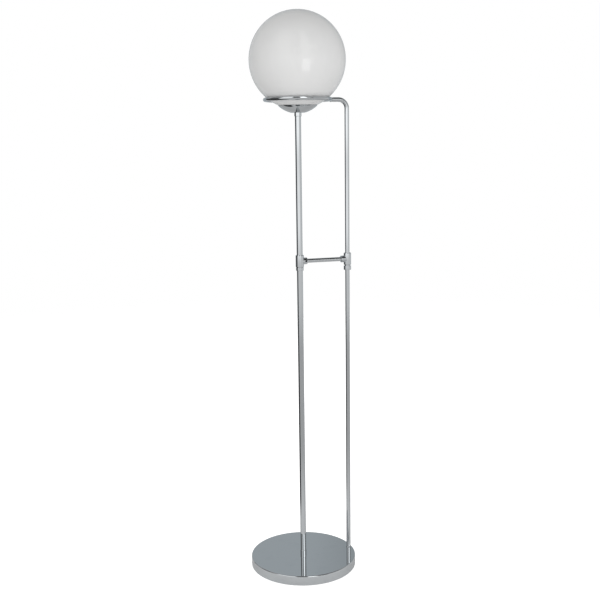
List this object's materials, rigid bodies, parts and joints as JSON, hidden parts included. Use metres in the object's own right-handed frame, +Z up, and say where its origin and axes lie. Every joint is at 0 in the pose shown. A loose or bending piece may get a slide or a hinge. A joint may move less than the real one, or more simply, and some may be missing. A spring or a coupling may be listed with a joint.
{
  "type": "globe floor lamp",
  "caption": "Two-legged chrome floor lamp with an opal glass globe in a ring, a crossbar between the legs and a heavy round base.",
  "frame": {"origin": "centre of the base's underside, on the floor", "axes": "+Z up the main leg, +X from the main leg towards the side leg, +Y to the back where the cord comes in"},
  "size_m": [0.29, 0.29, 1.5],
  "materials": {
    "chrome": "polished chrome plate",
    "opal_glass": "gloss opal white, translucent",
    "cast_iron": "rough casting",
    "plated_steel": "bright zinc plate",
    "black_steel": "black oxide",
    "spring_steel": "satin",
    "brass": "bright",
    "rubber": "matt",
    "black_plastic": "moulded, satin",
    "white_plastic": "moulded, gloss",
    "diffuser_plastic": "translucent white",
    "ceramic": "glazed steatite",
    "board": "white solder mask",
    "cable_sheath": "smooth"
  },
  "bodies": {
    "stand": {"arm_end_plug": "plated_steel", "base_cover": "chrome", "base_plate": "plated_steel", "base_plate_screws": "plated_steel", "base_weight": "cast_iron", "block_screw": "plated_steel", "cable_gland": "rubber", "centre_contact": "brass", "crossbar": "chrome", "cup_nut": "plated_steel", "earth_screw": "brass", "foot_bush": "brass", "foot_collar": "chrome", "foot_nipple": "plated_steel", "foot_nut": "plated_steel", "foot_pad": "rubber", "foot_washer": "plated_steel", "gallery_cup": "chrome", "globe_clips": "spring_steel", "globe_ring": "chrome", "globe_seat_ring": "rubber", "holder_cap": "black_plastic", "holder_insert": "ceramic", "holder_nipple": "plated_steel", "holder_sleeve": "black_plastic", "holder_terminal_screws": "brass", "inner_lead": "cable_sheath", "lower_main_tube": "chrome", "lower_side_rod": "chrome", "main_joint_sleeve": "plated_steel", "main_tee": "chrome", "side_foot_bush": "brass", "side_foot_flange": "chrome", "side_foot_screw": "plated_steel", "side_foot_washer": "plated_steel", "side_joint_dowel": "plated_steel", "side_tee": "chrome", "terminal_block": "white_plastic", "terminal_screws": "brass", "thread_shell": "brass", "top_bush": "brass", "top_ferrule": "chrome", "upper_main_tube": "chrome", "upper_side_rod": "chrome"},
    "main_union": {"main_union_nut": "chrome"},
    "side_union": {"side_union_nut": "chrome"},
    "set_screw": {"tee_set_screw": "black_steel"},
    "globe": {"globe": "opal_glass"},
    "bulb": {"bulb_tip": "brass", "bulb_insulator": "black_plastic", "bulb_cap": "plated_steel", "bulb_body": "white_plastic", "bulb_board": "board", "bulb_diffuser": "diffuser_plastic"}
  },
  "joints": [
    {"name": "main_union_turn", "type": "hinge", "parent": "stand", "child": "main_union", "pos_m": [0, 0, 0.832], "axis": [0, 0, -1], "range_deg": [0, 1620]},
    {"name": "side_union_turn", "type": "hinge", "parent": "stand", "child": "side_union", "pos_m": [0.135, 0, 0.829], "axis": [0, 0, -1], "range_deg": [0, 2520]},
    {"name": "set_screw_turn", "type": "hinge", "parent": "stand", "child": "set_screw", "pos_m": [0.0155, -0.0075, 0.8535], "axis": [0, -1, 0], "range_deg": [0, 1260]},
    {"name": "globe_lift", "type": "slide", "parent": "stand", "child": "globe", "axis": [0, 0, 1], "range_m": [0, 0.14]},
    {"name": "bulb_turn", "type": "hinge", "parent": "stand", "child": "bulb", "pos_m": [0, 0, 1.2866], "axis": [0, 0, 1], "range_deg": [0, 1440]}
  ]
}
